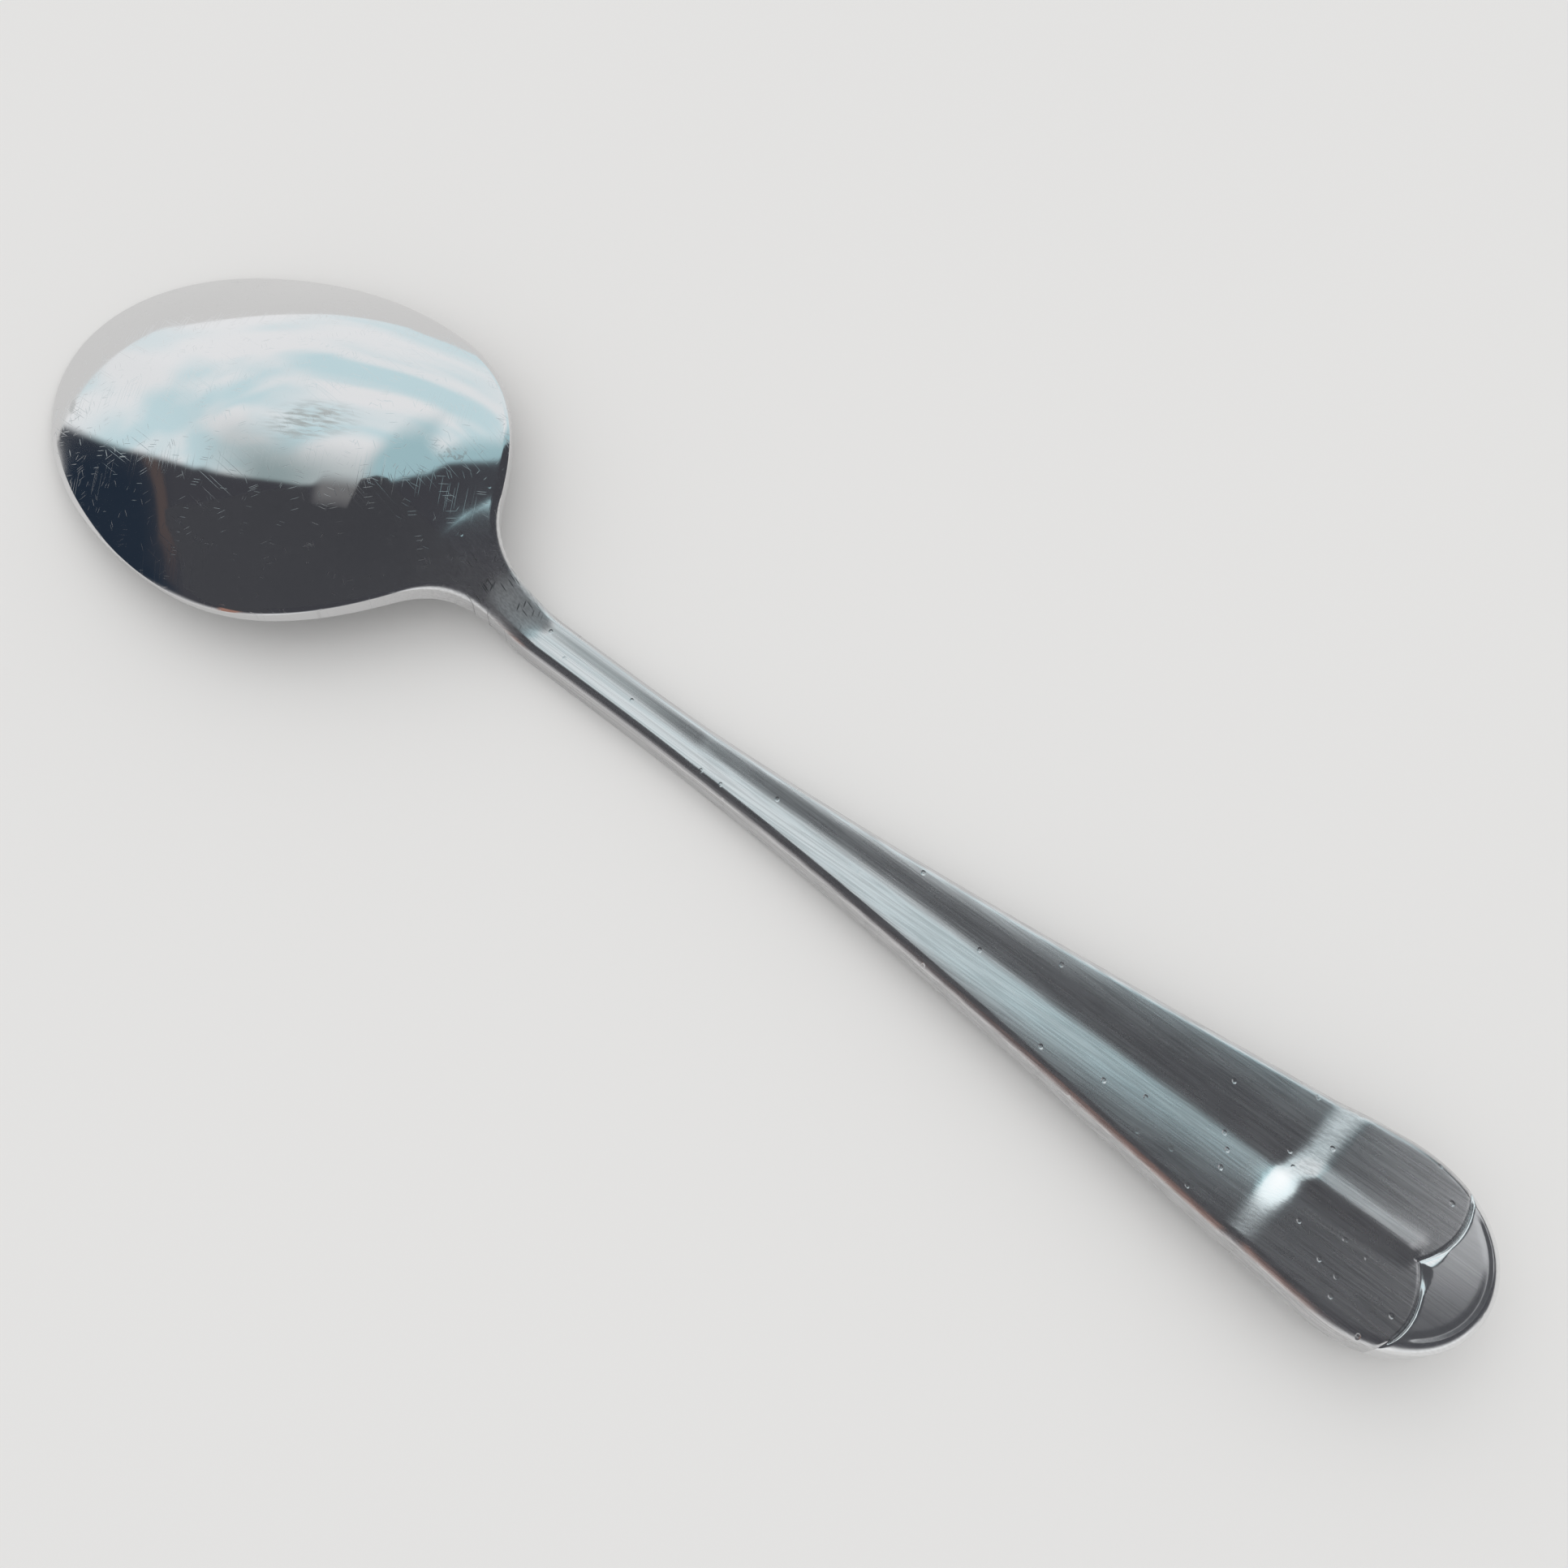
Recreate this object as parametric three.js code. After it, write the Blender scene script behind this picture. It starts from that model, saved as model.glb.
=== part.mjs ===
import * as THREE from 'three';

// A stamped steel teaspoon lying face down, so the back of the bowl and of the handle look up.
// Millimetres. Lengths run along x from the bowl's tip to the handle's end, heights rise from the table,
// and the spoon is the same on both sides of the plane y = 0.

// Lengths of the stretches, in order along the spoon
const BOWL_FRONT = 26; // bowl tip to the bowl's widest place
const BOWL_BACK = 18; // widest place to the shoulder, where the outline runs in most steeply
const NECK_LENGTH = 8.5; // shoulder to the start of the stem
const STEM_LENGTH = 35;
const BLADE_LENGTH = 47; // stem to the point of the raised end
const END_LENGTH = 5.5; // point of the raised end to the handle's end

// Widths
const BOWL_WIDTH = 35;
const SHOULDER_WIDTH = 13;
const SHOULDER_SLOPE = 1.63; // how fast the outline runs in at the shoulder, per mm of length
const STEM_WIDTH = 4;
const BLADE_WIDTH = 14.7; // where the handle's end starts to round
const BLADE_SLOPE = 0.104; // how fast each edge of the blade spreads there
const STRAIGHT_STEM = 10; // stem of even width before the blade's flare
const NECK_TAIL = 2; // stem before its underside comes down to the table
const REST_LENGTH = 16; // flat on which the stem rests
const ROUND_LENGTH = 10; // stretch over which the handle's end rounds off

// Heights and thicknesses
const RIM_SLOPE = 0.115; // how fast the rim leaves the table at the bowl's tip
const SHOULDER_LIFT = 4.3; // underside of the rim at the shoulder
const HANDLE_ANGLE = 2.4; // degrees that the handle rises past the flat on which the stem rests
const TIP_WALL = 0.35; // side of the rim at the bowl's tip
const RIM_WALL = 1; // side of the rim at the bowl's widest place
const HANDLE_WALL = 1.85;
const BOWL_WALL = 1.6; // metal at the middle of the bowl
const DOME_RISE = 6.2; // middle of the bowl's back above its edge
const STEM_TROUGH = 0.15; // hollow along the back of the stem
const BLADE_TROUGH = 0.45; // hollow along the back of the blade
const TROUGH_START = 12; // stretch over which the hollow starts at the neck
const RUN_OUT = 2.8; // ramp on which the hollow ends
const END_FLAT = 8.2; // back without a hollow, up to the point of the raised end
const END_RISE = 0.42; // how much thicker the handle is past the ramp
const END_STEP = 0.3; // raised end above the blade's back

// Rounded edges between the back and the side
const RIM_ROUND = 0.45;
const STEM_ROUND = 0.7;
const BLADE_ROUND = 0.8;
const RIM_DROP = 0.3;
const HANDLE_DROP = 0.6;
const ROUND_SHARE = 0.4; // the most of a narrow place's half width that the rounding takes

// Seam of the raised end: two bows that meet in a point towards the bowl
const BOW_HALF_WIDTH = 3.8; // from the middle to the deepest place of each bow
const BOW_DEPTH = 1.37;

// Faces along and across each piece
const BOWL_ROWS = 26;
const NECK_ROWS = 10;
const STEM_ROWS = 20;
const BLADE_ROWS = 34;
const END_ROWS = 10;
const BACK_COLUMNS = 16; // even, so that a column runs along the middle
const SEAM_TURNS = 12; // rounds in which a column's place on the seam settles
const SAME_PLACE = 1e-5; // corners closer than this are one corner

// Places along the spoon, from the stretches
const WIDEST_X = BOWL_FRONT;
const SHOULDER_X = WIDEST_X + BOWL_BACK;
const STEM_X = SHOULDER_X + NECK_LENGTH;
const FLARE_X = STEM_X + STRAIGHT_STEM;
const REST_X = STEM_X + NECK_TAIL;
const RISE_X = REST_X + REST_LENGTH;
const BLADE_X = STEM_X + STEM_LENGTH;
const POINT_X = BLADE_X + BLADE_LENGTH;
const LENGTH = POINT_X + END_LENGTH;
const ROUND_X = LENGTH - ROUND_LENGTH;
const FLAT_X = POINT_X - END_FLAT;

const { lerp, smoothstep, degToRad } = THREE.MathUtils;

// Cubic from (x0, y0) with slope s0 to (x1, y1) with slope s1.
function cubic(x, x0, y0, s0, x1, y1, s1) {
  const span = x1 - x0;
  const t = (x - x0) / span;
  const far = t * t * (3 - 2 * t);
  const leave = t * (1 - t) * (1 - t) * span;
  const arrive = t * t * (t - 1) * span;
  return y0 * (1 - far) + y1 * far + s0 * leave + s1 * arrive;
}

// Half the width in plan: half an ellipse, two cubics to the stem, a cubic flare, and an end that
// rounds off as an ellipse.
function halfWidth(x) {
  if (x < WIDEST_X) {
    const ahead = (WIDEST_X - x) / BOWL_FRONT;
    return (BOWL_WIDTH / 2) * Math.sqrt(1 - ahead * ahead);
  }
  if (x < SHOULDER_X) {
    return cubic(x, WIDEST_X, BOWL_WIDTH / 2, 0, SHOULDER_X, SHOULDER_WIDTH / 2, -SHOULDER_SLOPE);
  }
  if (x < STEM_X) {
    return cubic(x, SHOULDER_X, SHOULDER_WIDTH / 2, -SHOULDER_SLOPE, STEM_X, STEM_WIDTH / 2, 0);
  }
  if (x < FLARE_X) return STEM_WIDTH / 2;
  if (x < ROUND_X) return cubic(x, FLARE_X, STEM_WIDTH / 2, 0, ROUND_X, BLADE_WIDTH / 2, BLADE_SLOPE);
  const spread = BLADE_WIDTH / 2 + BLADE_SLOPE * (x - ROUND_X);
  const along = Math.min(1, (x - ROUND_X) / ROUND_LENGTH);
  return spread * Math.sqrt(1 - along * along);
}

// Height of the lower edge: the rim climbs from the tip, the neck comes down to the table,
// the stem rests on a short flat and the handle rises from it in a straight line.
function lowerEdge(x) {
  if (x < SHOULDER_X) return cubic(x, 0, 0, RIM_SLOPE, SHOULDER_X, SHOULDER_LIFT, 0);
  if (x < REST_X) return cubic(x, SHOULDER_X, SHOULDER_LIFT, 0, REST_X, 0, 0);
  return Math.max(0, x - RISE_X) * Math.tan(degToRad(HANDLE_ANGLE));
}

// Height of the side face: it grows from the tip to the handle, and once more on the ramp.
function sideWall(x) {
  const rim = lerp(TIP_WALL, RIM_WALL, smoothstep(x, 0, WIDEST_X));
  const rise = END_RISE * smoothstep(x, FLAT_X - RUN_OUT, FLAT_X);
  return lerp(rim, HANDLE_WALL, smoothstep(x, WIDEST_X, STEM_X)) + rise;
}

// How far the rounded edge comes down to the side face.
function roundDrop(x) {
  return lerp(RIM_DROP, HANDLE_DROP, smoothstep(x, WIDEST_X, STEM_X));
}

// Width of the rounded edge, never more than its share of a narrow place.
function edgeRound(x) {
  const atStem = lerp(RIM_ROUND, STEM_ROUND, smoothstep(x, WIDEST_X, STEM_X));
  return Math.min(lerp(atStem, BLADE_ROUND, smoothstep(x, FLARE_X, ROUND_X)), ROUND_SHARE * halfWidth(x));
}

// Dome of the bowl: its middle rises with the square of the width, and dies away along the neck.
function dome(x) {
  const share = halfWidth(x) / (BOWL_WIDTH / 2);
  return DOME_RISE * share * share * (1 - smoothstep(x, SHOULDER_X, STEM_X));
}

// Depth of the hollow along the back of the handle.
function trough(x) {
  const depth = lerp(STEM_TROUGH, BLADE_TROUGH, smoothstep(x, FLARE_X, BLADE_X));
  const starts = smoothstep(x, STEM_X - TROUGH_START / 2, STEM_X + TROUGH_START / 2);
  return depth * starts * (1 - smoothstep(x, FLAT_X - RUN_OUT, FLAT_X));
}

// Places across the spoon at x: the outer edge, the rounded edge's inner line, and even steps between.
function acrossAt(x, column) {
  const half = halfWidth(x);
  if (column === 0) return -half;
  if (column === BACK_COLUMNS + 2) return half;
  return (half - edgeRound(x)) * ((2 * (column - 1)) / BACK_COLUMNS - 1);
}

// Height of the back at x and y: an edge, then a dome or a hollow that is a parabola across.
function backHeight(x, y) {
  const edge = lowerEdge(x) + sideWall(x);
  const inner = halfWidth(x) - edgeRound(x);
  if (Math.abs(y) > inner + SAME_PLACE) return edge;
  const share = inner > 0 ? Math.abs(y) / inner : 1;
  return edge + roundDrop(x) + (dome(x) - trough(x)) * (1 - share * share);
}

// Height of the front at x and y: flat under the handle, hollow in the bowl.
function frontHeight(x, y) {
  const hollow = dome(x) * (1 - (BOWL_WALL - RIM_WALL - RIM_DROP) / DOME_RISE);
  const half = halfWidth(x);
  const share = half > 0 ? Math.min(1, Math.abs(y) / half) : 1;
  return lowerEdge(x) + hollow * (1 - share * share);
}

// The seam bows away from the point on each side, deepest at BOW_HALF_WIDTH.
function seamX(y) {
  const share = Math.abs(y) / BOW_HALF_WIDTH;
  return POINT_X + BOW_DEPTH * share * (2 - share);
}

// Where a column meets the seam: the column's place and the seam's are worked out in turn.
function seamAt(column) {
  let x = POINT_X;
  for (let turn = 0; turn < SEAM_TURNS; turn += 1) x = seamX(acrossAt(x, column));
  return x;
}

// One piece as a closed skin: back and front on one grid, sides along the edges, a face at each end.
// placeAt(share, column) gives x for each row's share of the piece's length.
function skin(rows, placeAt, step) {
  const columns = BACK_COLUMNS + 2;
  const points = [];
  const triangles = [];
  const known = new Map();
  const corner = (x, y, z) => {
    const key = [x, y, z].map((value) => Math.round(value / SAME_PLACE)).join(' ');
    if (!known.has(key)) {
      known.set(key, points.length / 3);
      points.push(x, y, z);
    }
    return known.get(key);
  };
  const back = [];
  const front = [];
  for (let row = 0; row <= rows; row += 1) {
    back.push([]);
    front.push([]);
    for (let column = 0; column <= columns; column += 1) {
      const x = placeAt(row / rows, column);
      const y = acrossAt(x, column);
      back[row].push(corner(x, y, backHeight(x, y) + step));
      front[row].push(corner(x, y, frontHeight(x, y)));
    }
  }
  const triangle = (a, b, c) => {
    if (a !== b && b !== c && c !== a) triangles.push(a, b, c);
  };
  const quad = (a, b, c, d) => {
    triangle(a, b, c);
    triangle(a, c, d);
  };
  for (let row = 0; row < rows; row += 1) {
    for (let column = 0; column < columns; column += 1) {
      quad(back[row][column], back[row + 1][column], back[row + 1][column + 1], back[row][column + 1]);
      quad(front[row][column], front[row][column + 1], front[row + 1][column + 1], front[row + 1][column]);
    }
    quad(back[row][columns], back[row + 1][columns], front[row + 1][columns], front[row][columns]);
    quad(back[row][0], front[row][0], front[row + 1][0], back[row + 1][0]);
  }
  for (let column = 0; column < columns; column += 1) {
    quad(back[0][column], back[0][column + 1], front[0][column + 1], front[0][column]);
    quad(back[rows][column], front[rows][column], front[rows][column + 1], back[rows][column + 1]);
  }
  const geometry = new THREE.BufferGeometry();
  geometry.setAttribute('position', new THREE.Float32BufferAttribute(points, 3));
  geometry.setIndex(triangles);
  geometry.computeVertexNormals();
  return geometry;
}

const polishedSteel = { color: 0x9fa6ab, roughness: 0.12, metalness: 1 };
const satinSteel = { color: 0x8f9498, roughness: 0.32, metalness: 1 };

const spoon = new THREE.Group();
spoon.position.x = -LENGTH / 2;

function addPiece(name, rows, placeAt, finish, step = 0) {
  const piece = new THREE.Mesh(skin(rows, placeAt, step), new THREE.MeshStandardMaterial(finish));
  piece.name = name;
  spoon.add(piece);
}

// Rows crowd towards the bowl's tip and the handle's end, where the outline turns fastest.
const crowdAtStart = (share) => 1 - Math.cos((share * Math.PI) / 2);
const crowdAtEnd = (share) => Math.sin((share * Math.PI) / 2);

addPiece('bowl', BOWL_ROWS, (share) => SHOULDER_X * crowdAtStart(share), polishedSteel);
addPiece('neck', NECK_ROWS, (share) => lerp(SHOULDER_X, STEM_X, share), satinSteel);
addPiece('stem', STEM_ROWS, (share) => lerp(STEM_X, BLADE_X, share), satinSteel);
const toSeam = (share, column) => lerp(BLADE_X, seamAt(column), share);
const fromSeam = (share, column) => lerp(seamAt(column), LENGTH, crowdAtEnd(share));
addPiece('blade', BLADE_ROWS, toSeam, satinSteel);
addPiece('raised_end', END_ROWS, fromSeam, satinSteel, END_STEP);

export default spoon;
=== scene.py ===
"""A steel teaspoon lying face down: the finished looks of its five pieces, and a plain stage."""

import bpy
import numpy as np
from bpy.props import FloatProperty, FloatVectorProperty, PointerProperty
from mathutils import Matrix, Vector


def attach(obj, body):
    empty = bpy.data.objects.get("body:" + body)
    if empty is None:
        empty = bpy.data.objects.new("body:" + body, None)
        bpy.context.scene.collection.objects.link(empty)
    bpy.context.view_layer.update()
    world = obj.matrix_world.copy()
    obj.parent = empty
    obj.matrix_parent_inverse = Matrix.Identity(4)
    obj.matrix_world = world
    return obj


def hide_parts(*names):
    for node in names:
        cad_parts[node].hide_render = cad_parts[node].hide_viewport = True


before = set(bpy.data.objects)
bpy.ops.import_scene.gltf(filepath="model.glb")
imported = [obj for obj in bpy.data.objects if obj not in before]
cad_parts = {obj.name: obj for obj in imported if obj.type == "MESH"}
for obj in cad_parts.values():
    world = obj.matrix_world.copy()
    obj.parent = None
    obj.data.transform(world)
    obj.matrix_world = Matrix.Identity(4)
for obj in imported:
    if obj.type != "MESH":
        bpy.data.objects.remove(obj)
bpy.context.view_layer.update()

bl_info = {
    "name": "Steel teaspoon",
    "version": (1, 0, 0),
    "blender": (4, 5, 0),
    "location": "View3D > Sidebar > Spoon",
    "description": "Builds the bowl, neck, stem, blade and raised end of a steel teaspoon, and its stage",
    "category": "Add Mesh",
}

MM = 0.001
STEP = 1e-4  # share of a row or column over which a slope is measured
SAME_PLACE = 1e-8  # corners closer than this are one corner
SEAM_TURNS = 12  # rounds in which a column's place on the seam settles


def length(name, description, default_mm):
    """A length in metres with its default given in millimetres."""
    return FloatProperty(
        name=name, description=description, default=default_mm * MM, min=0.0, precision=5, unit="LENGTH"
    )


def slope(name, description, default):
    """A slope as rise over run."""
    return FloatProperty(name=name, description=description, default=default, precision=4)


def colour(name, description, default):
    """A linear colour."""
    return FloatVectorProperty(
        name=name, description=description, default=default, size=3, min=0.0, soft_max=1.0, subtype="COLOR"
    )


class SpoonSizes(bpy.types.PropertyGroup):
    """Lengths along the spoon from the bowl's tip, widths, heights and rounded edges."""

    bowl_front: length("Bowl front", "Bowl tip to the widest place", 26)
    bowl_back: length("Bowl back", "Widest place to the shoulder", 18)
    neck_length: length("Neck length", "Shoulder to the start of the stem", 8.5)
    stem_length: length("Stem length", "Narrow part of the handle", 35)
    blade_length: length("Blade length", "Stem to the point of the raised end", 47)
    end_length: length("End length", "Point of the raised end to the handle's end", 5.5)
    bowl_width: length("Bowl width", "Widest place of the bowl", 35)
    shoulder_width: length("Shoulder width", "Where the outline runs in most steeply", 13)
    shoulder_slope: slope("Shoulder slope", "How fast each edge runs in at the shoulder", 1.63)
    stem_width: length("Stem width", "Even width of the stem", 4)
    blade_width: length("Blade width", "Where the handle's end starts to round", 14.7)
    blade_slope: slope("Blade slope", "How fast each edge spreads there", 0.104)
    straight_stem: length("Straight stem", "Stem before the blade's flare", 10)
    neck_tail: length("Neck tail", "Stem before its underside comes down to the table", 2)
    rest_length: length("Rest length", "Flat on which the stem rests", 16)
    round_length: length("Round length", "Stretch over which the handle's end rounds off", 10)
    rim_slope: slope("Rim slope", "How fast the rim leaves the table at the tip", 0.115)
    shoulder_lift: length("Shoulder lift", "Underside of the rim at the shoulder", 4.3)
    handle_slope: slope("Handle slope", "Rise of the handle past its rest", 0.0419)
    tip_wall: length("Tip wall", "Side of the rim at the bowl's tip", 0.15)
    rim_wall: length("Rim wall", "Side of the rim at the bowl's widest place", 1)
    handle_wall: length("Handle wall", "Side of the handle", 1.85)
    bowl_wall: length("Bowl wall", "Metal at the middle of the bowl", 1.6)
    dome_rise: length("Dome rise", "Middle of the bowl's back above its edge", 6.2)
    stem_trough: length("Stem trough", "Hollow along the back of the stem", 0.15)
    blade_trough: length("Blade trough", "Hollow along the back of the blade", 0.36)
    trough_half_width: length("Trough half width", "Half the width of the blade's hollow", 5.0)
    stem_bottom: length("Stem bottom", "Rounding along the bottom of the stem's hollow", 3)
    blade_bottom: length("Blade bottom", "Rounding along the bottom of the blade's hollow", 0.5)
    trough_start: length("Trough start", "Stretch over which the hollow starts", 12)
    run_out: length("Run-out", "Ramp on which the hollow ends", 2.8)
    end_flat: length("End flat", "Back without a hollow before the raised end", 8.2)
    ramp_lean: slope("Ramp lean", "How far the ramp runs askew across the blade", 0.17)
    end_rise: length("End rise", "How much thicker the handle is past the ramp", 0.42)
    ridge_rise: length("Ridge rise", "Low ridge along the back past the ramp", 0.19)
    ridge_width: length("Ridge width", "Half width of that ridge", 0.9)
    ridge_aside: length("Ridge place", "Middle of the blade to that ridge", 0.4)
    end_step: length("End step", "Raised end above the blade's back", 0.2)
    end_slope: slope("End slope", "How fast the raised end falls towards its tip", 0.042)
    end_bevel: length("End bevel", "Width of the bevel along the seam", 0.16)
    point_bevel: length("Point bevel", "Width of the bevel at the point of the seam", 0.9)
    point_reach: length("Point reach", "How far from the middle the wide bevel runs", 2.4)
    end_border: length("End border", "Outline to the groove along the handle's end", 1.05)
    groove_depth: length("Groove depth", "Depth of that groove", 0.065)
    groove_width: length("Groove width", "Half width of that groove", 0.25)
    seam_crease: length("Seam crease", "Depth of the crease at the foot of the seam", 0.1)
    crease_width: length("Crease width", "Width of the crease", 0.15)
    bow_half_width: length("Bow half width", "Middle to the deepest place of each bow of the seam", 3.8)
    bow_depth: length("Bow depth", "How far each bow of the seam runs back", 1.37)
    rim_round: length("Rim round", "Width of the rounded edge at the rim", 0.45)
    wide_round: length("Wide round", "Width of the rounded edge at the bowl's widest place", 0.8)
    stem_round: length("Stem round", "Width of the rounded edge at the stem", 0.7)
    blade_round: length("Blade round", "Width of the rounded edge at the blade", 0.72)
    rim_drop: length("Rim drop", "Back's edge above the side face at the rim", 0.3)
    handle_drop: length("Handle drop", "Back's edge above the side face at the handle", 0.6)
    rim_lip: length("Rim lip", "Side face that the rim's rounding takes", 0.4)
    handle_lip: length("Handle lip", "Side face that the handle's rounding takes", 0.05)
    lip_inner: slope("Lip inner lean", "Sine of the handle lip's lean at the back", 0.375)
    lip_outer: slope("Lip outer lean", "Sine of the handle lip's lean at the side", 0.848)
    under_round: length("Underside round", "Rounded edge of the underside", 0.25)


class SpoonLooks(bpy.types.PropertyGroup):
    """Colours of the steel and of the stage."""

    steel: colour("Steel", "Polished steel", (0.71, 0.71, 0.715))
    satin: colour("Satin steel", "Steel of the raised end", (0.82, 0.825, 0.83))
    floor: colour("Floor", "Pale floor", (0.83, 0.83, 0.825))
    sky: colour("Bright side", "Soft white light on the far side", (1.02, 1.03, 1.04))
    teal: colour("Teal bands", "Pale bands in the bright side", (0.70, 0.90, 0.95))
    high: colour("High teal", "Teal high up on the far side", (0.44, 0.65, 0.70))
    haze: colour("High haze", "Grey high up on the far side", (0.58, 0.64, 0.65))
    deep: colour("Deep haze", "Darker left part of the haze", (0.36, 0.45, 0.46))
    shade: colour("Dark side", "Unlit side of the studio", (0.064, 0.065, 0.076))
    navy: colour("Dark left", "Darkest part of the unlit side", (0.020, 0.032, 0.052))
    plank: colour("Brown plank", "Thin brown upright on the left", (0.105, 0.082, 0.080))
    half: colour("Half light", "Soft edge between the sides", (0.21, 0.21, 0.215))
    low: colour("Low light", "Pale band low on the near side", (0.60, 0.60, 0.61))
    warm: colour("Warm low light", "Warm stretch of that band", (0.42, 0.23, 0.18))
    card: colour("Dark card", "Card over the spoon", (0.090, 0.093, 0.106))
    grey: colour("Grey card", "Card beside the dark one", (0.76, 0.78, 0.81))


def smooth(x, start, stop):
    """0 before start, 1 after stop, and a cubic with level ends between them."""
    t = np.clip((x - start) / (stop - start), 0, 1)
    return t * t * (3 - 2 * t)


def mix(a, b, share):
    """The value that lies at a share of the way from a to b."""
    return a + (b - a) * share


def cubic(x, x0, y0, s0, x1, y1, s1):
    """Cubic from (x0, y0) with slope s0 to (x1, y1) with slope s1."""
    span = x1 - x0
    t = (x - x0) / span
    far = t * t * (3 - 2 * t)
    return y0 * (1 - far) + y1 * far + s0 * span * t * (1 - t) ** 2 + s1 * span * t * t * (t - 1)


class SpoonForm:
    """The spoon's surface, from its sizes. x runs along the spoon from the bowl's tip."""

    def __init__(self, sizes):
        self.s = s = sizes
        self.widest = s.bowl_front
        self.shoulder = self.widest + s.bowl_back
        self.stem = self.shoulder + s.neck_length
        self.flare = self.stem + s.straight_stem
        self.rest = self.stem + s.neck_tail
        self.rest_end = self.rest + s.rest_length
        self.blade = self.stem + s.stem_length
        self.point = self.blade + s.blade_length
        self.length = self.point + s.end_length
        self.rounding = self.length - s.round_length
        self.flat = self.point - s.end_flat
        end_y = s.blade_width / 2
        for _ in range(SEAM_TURNS):
            end_y = self.half_width(self.seam_x(end_y))
        self.seam_end_y = end_y
        self.seam_end_turn = np.arcsin((self.seam_x(end_y) - self.rounding) / s.round_length)

    def half_width(self, x):
        """Half an ellipse, two cubics to the stem, a cubic flare and a half-elliptic end."""
        s = self.s
        x = np.asarray(x, float)
        ahead = np.clip((self.widest - x) / s.bowl_front, 0, 1)
        along = np.clip((x - self.rounding) / s.round_length, 0, 1)
        tip = s.bowl_width / 2 * np.sqrt(1 - ahead**2)
        bowl = cubic(
            x, self.widest, s.bowl_width / 2, 0, self.shoulder, s.shoulder_width / 2, -s.shoulder_slope
        )
        neck = cubic(
            x, self.shoulder, s.shoulder_width / 2, -s.shoulder_slope, self.stem, s.stem_width / 2, 0
        )
        flare = cubic(x, self.flare, s.stem_width / 2, 0, self.rounding, s.blade_width / 2, s.blade_slope)
        end = (s.blade_width / 2 + s.blade_slope * (x - self.rounding)) * np.sqrt(1 - along**2)
        places = [x < self.widest, x < self.shoulder, x < self.stem, x < self.flare, x < self.rounding]
        return np.select(places, [tip, bowl, neck, s.stem_width / 2 + 0 * x, flare], end)

    def lower_edge(self, x):
        """The rim climbs from the tip, the neck comes down to the table, the handle rises past its rest."""
        s = self.s
        rim = cubic(x, 0, 0, s.rim_slope, self.shoulder, s.shoulder_lift, 0)
        neck = cubic(x, self.shoulder, s.shoulder_lift, 0, self.rest, 0, 0)
        return np.select(
            [x < self.shoulder, x < self.rest], [rim, neck], np.maximum(0, x - self.rest_end) * s.handle_slope
        )

    def to_stem(self, x):
        """0 up to the bowl's widest place, 1 from the stem on."""
        return smooth(x, self.widest, self.stem)

    def rim(self, x):
        """Side of the rim: it grows from the tip to the widest place."""
        return mix(self.s.tip_wall, self.s.rim_wall, smooth(x, self.widest / 3, self.widest))

    def ramp(self, x, y):
        """0 along the blade, 1 past the ramp on which its hollow ends. The ramp runs a little askew."""
        return smooth(x - self.s.ramp_lean * y, self.flat - self.s.run_out, self.flat)

    def edge_level(self, x, y):
        """Top of the side face above the table."""
        wall = mix(self.rim(x), self.s.handle_wall, self.to_stem(x)) + self.s.end_rise * self.ramp(x, y)
        return self.lower_edge(x) + wall

    def drop(self, x):
        """Back's edge above the top of the side face."""
        return mix(self.s.rim_drop, self.s.handle_drop, self.to_stem(x))

    def edge_round(self, x):
        """Width of the rounded edge: it swells at the bowl's widest place, and grows along the handle."""
        s = self.s
        wide = smooth(x, self.widest / 2, self.widest) * (1 - smooth(x, self.widest, self.shoulder))
        stem = mix(mix(s.rim_round, s.wide_round, wide), s.stem_round, self.to_stem(x))
        return mix(stem, s.blade_round, smooth(x, self.flare, self.rounding))

    def lip(self, x):
        """Height of the side face that the rounded edge takes."""
        rim_lip = self.s.rim_lip * self.rim(x) / self.s.rim_wall
        return mix(rim_lip, self.s.handle_lip, self.to_stem(x))

    def lip_height(self, share, x):
        """Share of the lip's height that is left at a share of its width: an arc between two leans, which is
        a quarter ellipse at the rim and a nearly flat bevel at the handle."""
        inner = mix(0, self.s.lip_inner, self.to_stem(x))
        outer = mix(1, self.s.lip_outer, self.to_stem(x))
        low = np.sqrt(1 - outer**2)
        arc = np.sqrt(np.maximum(0, 1 - mix(inner, outer, share) ** 2))
        return (arc - low) / (np.sqrt(1 - inner**2) - low)

    def dome(self, x):
        """Rise of the bowl's back: the square of the width, dying away along the neck."""
        share = self.half_width(np.maximum(x, self.widest)) / (self.s.bowl_width / 2)
        return self.s.dome_rise * share**2 * (1 - smooth(x, self.shoulder, self.stem))

    def trough(self, x, y, inner):
        """Hollow of the handle's back: level along its edges, steepest beside its rounded bottom, with a ramp
        at its end."""
        s = self.s
        depth = mix(s.stem_trough, s.blade_trough, smooth(x, self.flare, self.flat - s.run_out))
        starts = smooth(x, self.stem - s.trough_start / 2, self.stem + s.trough_start / 2)
        bottom = mix(s.stem_bottom, s.blade_bottom, smooth(x, self.stem, self.flat - s.run_out))
        reach = np.hypot(np.minimum(inner, s.trough_half_width), bottom) - bottom
        across = (np.hypot(y, bottom) - bottom) / np.maximum(reach, SAME_PLACE)
        return depth * starts * (1 - self.ramp(x, y)) * np.clip(1 - across, 0, 1) ** 2

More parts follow.
